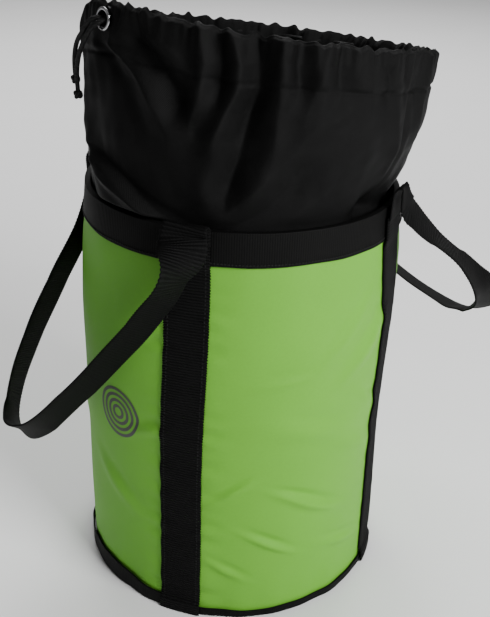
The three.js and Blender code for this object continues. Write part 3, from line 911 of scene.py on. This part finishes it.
def add_collar():
    columns = 900
    low = np.linspace(COLLAR_FOOT, TOP - 1 * MM, 12)
    upper = np.linspace(TOP, TOP + COLLAR_RISE, 190)
    height = np.concatenate([low, upper])
    ring = np.linspace(0, 2 * math.pi, columns, endpoint=False)
    angle, tall = np.meshgrid(ring, height)
    share = np.clip((tall - TOP) / COLLAR_RISE, 0, 1)
    seam = 1 - CHANNEL / COLLAR_RISE
    in_channel = smooth(share, seam, seam + 0.03)
    puff = 1.2 * MM * in_channel * np.sin(math.pi * np.clip((share - seam) / (1 - seam), 0, 1)) ** 0.6
    pucker = 1 + 0.5 * waves(angle * 70, angle * 41, 69, 5, 0.6, 1.2)
    stitch_line = -1.0 * MM * bump(share, seam, 0.012) * pucker
    top_fold = -3.0 * MM * smooth(share, 0.975, 1.0)
    free = smooth(tall, TOP - 4 * MM, TOP + 10 * MM)
    off = collar_swell(angle, share) * free + collar_profile(angle, share) + puff + stitch_line + top_fold
    off = np.where(tall < TOP, np.minimum(off, 0), off)
    ruffle = (1.3 * waves(ring * 64, ring * 37, 65, 5, 0.6, 1.2)
              + 0.7 * waves(ring * 19, ring * 11, 66, 4, 0.6, 1.2)) * MM
    tall = tall + ruffle[None, :] * smooth(share, seam, 1.0)
    outer = shape_collar(angle, COLLAR_RADIUS + off, tall)
    # The hem turns over at the mouth and comes down inside to its stitching.
    inner_height = np.linspace(TOP + COLLAR_RISE, TOP + COLLAR_RISE - CHANNEL, 30)
    angle_in, tall_in = np.meshgrid(ring, inner_height)
    share_in = (tall_in - TOP) / COLLAR_RISE
    depth = 3.0 * MM + 6.0 * MM * np.sin(math.pi * np.linspace(0, 1, 30))[:, None] ** 0.7
    off_in = collar_swell(angle_in, share_in) - depth
    tall_in = tall_in + ruffle[None, :] * smooth(share_in, seam, 1.0) - 0.6 * MM
    inner = shape_collar(angle_in, COLLAR_RADIUS + off_in, tall_in)
    points = np.concatenate([outer, inner])
    steps = np.linalg.norm(np.diff(points, axis=0), axis=2).mean(axis=1)
    up = np.concatenate([[0], np.cumsum(steps)])
    uv = np.stack(np.broadcast_arrays(ring[None, :] * COLLAR_RADIUS, up[:, None]), -1)
    piece = add_mesh("collar_sleeve", points.reshape(-1, 3), grid_faces(len(points), columns, False, True),
                     collar_cloth, uv=uv.reshape(-1, 2))
    thicken(piece, COLLAR_CLOTH)
    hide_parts("collar")


add_collar()


def tube(name, path, radius, material, sides=10):
    """A closed-ended tube along a line of points, as a mesh."""
    along = unit(np.gradient(path, axis=0))
    side = unit(np.cross(along, [0, 0, 1]))
    top = np.cross(side, along)
    rim = np.linspace(0, 2 * math.pi, sides, endpoint=False)[None, :, None]
    points = path[:, None] + radius * (np.cos(rim) * side[:, None] + np.sin(rim) * top[:, None])
    faces = [list(f) for f in grid_faces(len(path), sides, False, True)]
    last = (len(path) - 1) * sides
    faces.append(list(range(sides))[::-1])
    faces.append([last + i for i in range(sides)])
    return add_mesh(name, points.reshape(-1, 3), faces, material)


def add_tunnel_cord():
    """The drawcord's hidden run, which follows the gathered cloth all round the mouth."""
    clear = 13 * MM / COLLAR_RADIUS
    angle = EYELET_ANGLE + np.linspace(clear, 2 * math.pi - clear, 480)
    share = np.full_like(angle, (EYELET_Z - TOP) / COLLAR_RISE)
    inward = COLLAR_RADIUS + collar_swell(angle, share) - 5.5 * MM
    piece = tube("drawcord_tunnel_run", shape_collar(angle, inward, EYELET_Z), CORD_DIAMETER / 2, cord_black)
    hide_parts("drawcord_ring")


add_tunnel_cord()

# ---------------------------------------------------------------- eyelet


EYELET_COLUMNS = 72


def add_eyelet():
    centre = shape_collar(EYELET_ANGLE, COLLAR_RADIUS, EYELET_Z)
    across = shape_collar(EYELET_ANGLE + 0.05, COLLAR_RADIUS, EYELET_Z) - centre
    up = shape_collar(EYELET_ANGLE, COLLAR_RADIUS, EYELET_Z + 5 * MM) - centre
    facing = unit(np.cross(across, up))
    bore, flange, metal = 6.2 * MM, 9.2 * MM, 1.0 * MM
    lift = 2.6 * MM
    middle = (bore + flange) / 2
    roll = [(middle + (flange - bore) / 2 * math.cos(t), lift + 1.1 * metal * math.sin(t))
            for t in np.linspace(0, math.pi, 15)]
    under = lift - 0.4 * MM
    barrel = bore + 0.7 * MM
    foot = -2.0 * MM
    inside = [(flange - metal, under), (barrel, under), (barrel, foot)]
    section = np.array([(bore, foot)] + roll[::-1] + inside)
    side = unit(np.cross(facing, [0, 0, 1]))
    top = np.cross(side, facing)
    ring = np.linspace(0, 2 * math.pi, EYELET_COLUMNS, endpoint=False)[:, None, None]
    spoke = np.cos(ring) * side + np.sin(ring) * top
    points = centre + section[None, :, :1] * spoke + section[None, :, 1:] * facing
    faces = grid_faces(EYELET_COLUMNS, len(section), True, True)[:, ::-1]
    piece = add_mesh("eyelet_ring", points.reshape(-1, 3), faces, plated, settled=False)
    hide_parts("eyelet")


add_eyelet()

# ---------------------------------------------------------------- stitching


def stitch_row(name, places, normals, length=2.6 * MM, thick=0.55 * MM):
    """Short raised stitches along a line, joined in one piece."""
    outline = np.array([(math.cos(t), math.sin(t)) for t in np.linspace(0, 2 * math.pi, 7)[:-1]])
    stations = ((-1, 0.35), (-0.6, 1), (0.6, 1), (1, 0.35))  # along a stitch's half length: its thickness
    points, faces = [], []
    for start, end, normal in zip(places[:-1], places[1:], normals):
        along = unit(end - start)
        half = min(length, np.linalg.norm(end - start) * 0.8) / 2
        centre = (start + end) / 2
        side = unit(np.cross(along, normal))
        first = len(points)
        for t, size in stations:
            spokes = outline[:, :1] * side + outline[:, 1:] * normal
            points.extend(centre + along * half * t + thick * size * spokes)
        count = len(outline)
        faces.extend(first + grid_faces(len(stations), count, False, True))
        faces.append([first + m for m in range(count)][::-1])
        faces.append([first + (len(stations) - 1) * count + m for m in range(count)])
    piece = add_mesh(name, points, faces, thread_black, uv=np.asarray(points)[:, [0, 2]])


def ring_stitches(name, count=300):
    """A row of stitches all round the foot of the rim's tape."""
    ring = np.linspace(0, 2 * math.pi, count + 1)
    radius = RIM_RADIUS + wall_swell(ring, np.full_like(ring, RIM_FOOT)) + 0.1 * MM
    height = np.full_like(ring, RIM_FOOT + 3 * MM)
    places = np.stack([radius * np.cos(ring), radius * np.sin(ring), height], -1)
    normals = np.stack([np.cos(ring), np.sin(ring), 0 * ring], -1)
    stitch_row(name, places, normals)


def add_stitching():
    ring_stitches("rim_stitches")
    for label, (side_x, side_y) in STRAP_SIDES.items():
        angle = math.atan2(side_y, side_x)
        height = np.arange(12 * MM, STRAP_TOP - 2 * MM, 3.8 * MM)
        for edge, way in (("a", -1), ("b", 1)):
            turned = angle + (way * (WEBBING_WIDTH / 2 - 4 * MM) + strap_sway(angle, height)) / RADIUS
            radius = strap_seat(turned, height) + WEBBING_THICK
            normals = np.stack([np.cos(turned), np.sin(turned), 0 * turned], -1)
            places = radius[:, None] * normals + height[:, None] * np.array([0, 0, 1])
            stitch_row("strap_stitches_" + label + "_" + edge, places, normals)


add_stitching()

# ---------------------------------------------------------------- print


def add_print():
    """A plain printed sign on the left panel: a coil of rope, drawn as rings."""
    centre_angle, centre_height = math.radians(198), 0.205
    turn = np.linspace(0, 2 * math.pi, 90)
    circle = np.stack([np.cos(turn), np.sin(turn)], -1)
    for i, size in enumerate((24 * MM, 18 * MM, 12 * MM, 6 * MM)):
        line = size * circle
        along = unit(np.gradient(line, axis=0))
        side = np.stack([-along[:, 1], along[:, 0]], -1) * 1.6 * MM
        flat = np.stack([line - side, line - side / 3, line + side / 3, line + side], 1)
        angle = centre_angle + flat[..., 0] / RADIUS
        height = centre_height + flat[..., 1]
        radius = RADIUS + wall_swell(angle, height) + 0.25 * MM
        points = np.stack([radius * np.cos(angle), radius * np.sin(angle), height], -1).reshape(-1, 3)
        piece = add_mesh(f"print_line_{i}", points, grid_faces(len(line), 4), ink)


add_print()

# ---------------------------------------------------------------- carried-over frame nodes


def dress(name, material):
    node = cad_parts[name]
    node.data.materials.clear()
    node.data.materials.append(material)


dress("eyelet_washer", plated)

# ---------------------------------------------------------------- floor and light


def add_floor():
    size = 12.0
    n = Nodes("floor_paper")
    shade = n.noise(3.0, 2.0, n.place())
    paper = n.mix(shade, (0.80, 0.80, 0.80, 1), (0.84, 0.84, 0.84, 1))
    floor_material = n.set(Base_Color=paper, Roughness=0.9)
    level = -0.5 * MM
    points = [(-size, -size, level), (size, -size, level), (size, size, level), (-size, size, level)]
    add_mesh("floor", points, [(0, 1, 2, 3)], floor_material, body=None, settled=False)


def add_light(name, azimuth, elevation, distance, size, power, behind=0.0):
    """A soft square light; azimuth is measured round from the camera's side, to the right.

    It is aimed at the bag, or at a place this far behind it."""
    data = bpy.data.lights.new(name, "AREA")
    data.size = size
    data.energy = power
    light = bpy.data.objects.new(name, data)
    around = math.radians(azimuth)
    level = -VIEW_AWAY * math.cos(around) + VIEW_RIGHT * math.sin(around)
    place = level * math.cos(math.radians(elevation)) + Vector((0, 0, math.sin(math.radians(elevation))))
    target = VIEW_AWAY * behind + Vector((0, 0, 0.28))
    light.location = target + place * distance
    light.rotation_euler = (-place).to_track_quat("-Z", "Y").to_euler()
    bpy.context.scene.collection.objects.link(light)


def add_world():
    world = bpy.data.worlds.new("studio")
    world.use_nodes = True
    world.node_tree.nodes["Background"].inputs[0].default_value = (1, 1, 1, 1)
    world.node_tree.nodes["Background"].inputs[1].default_value = 0.2
    bpy.context.scene.world = world


add_floor()
add_light("key", 46, 32, 1.9, 0.8, 50)
add_light("fill", -75, 45, 2.4, 1.4, 1.5)
add_light("back", 178, 72, 3.0, 2.4, 150, 1.5)
add_world()
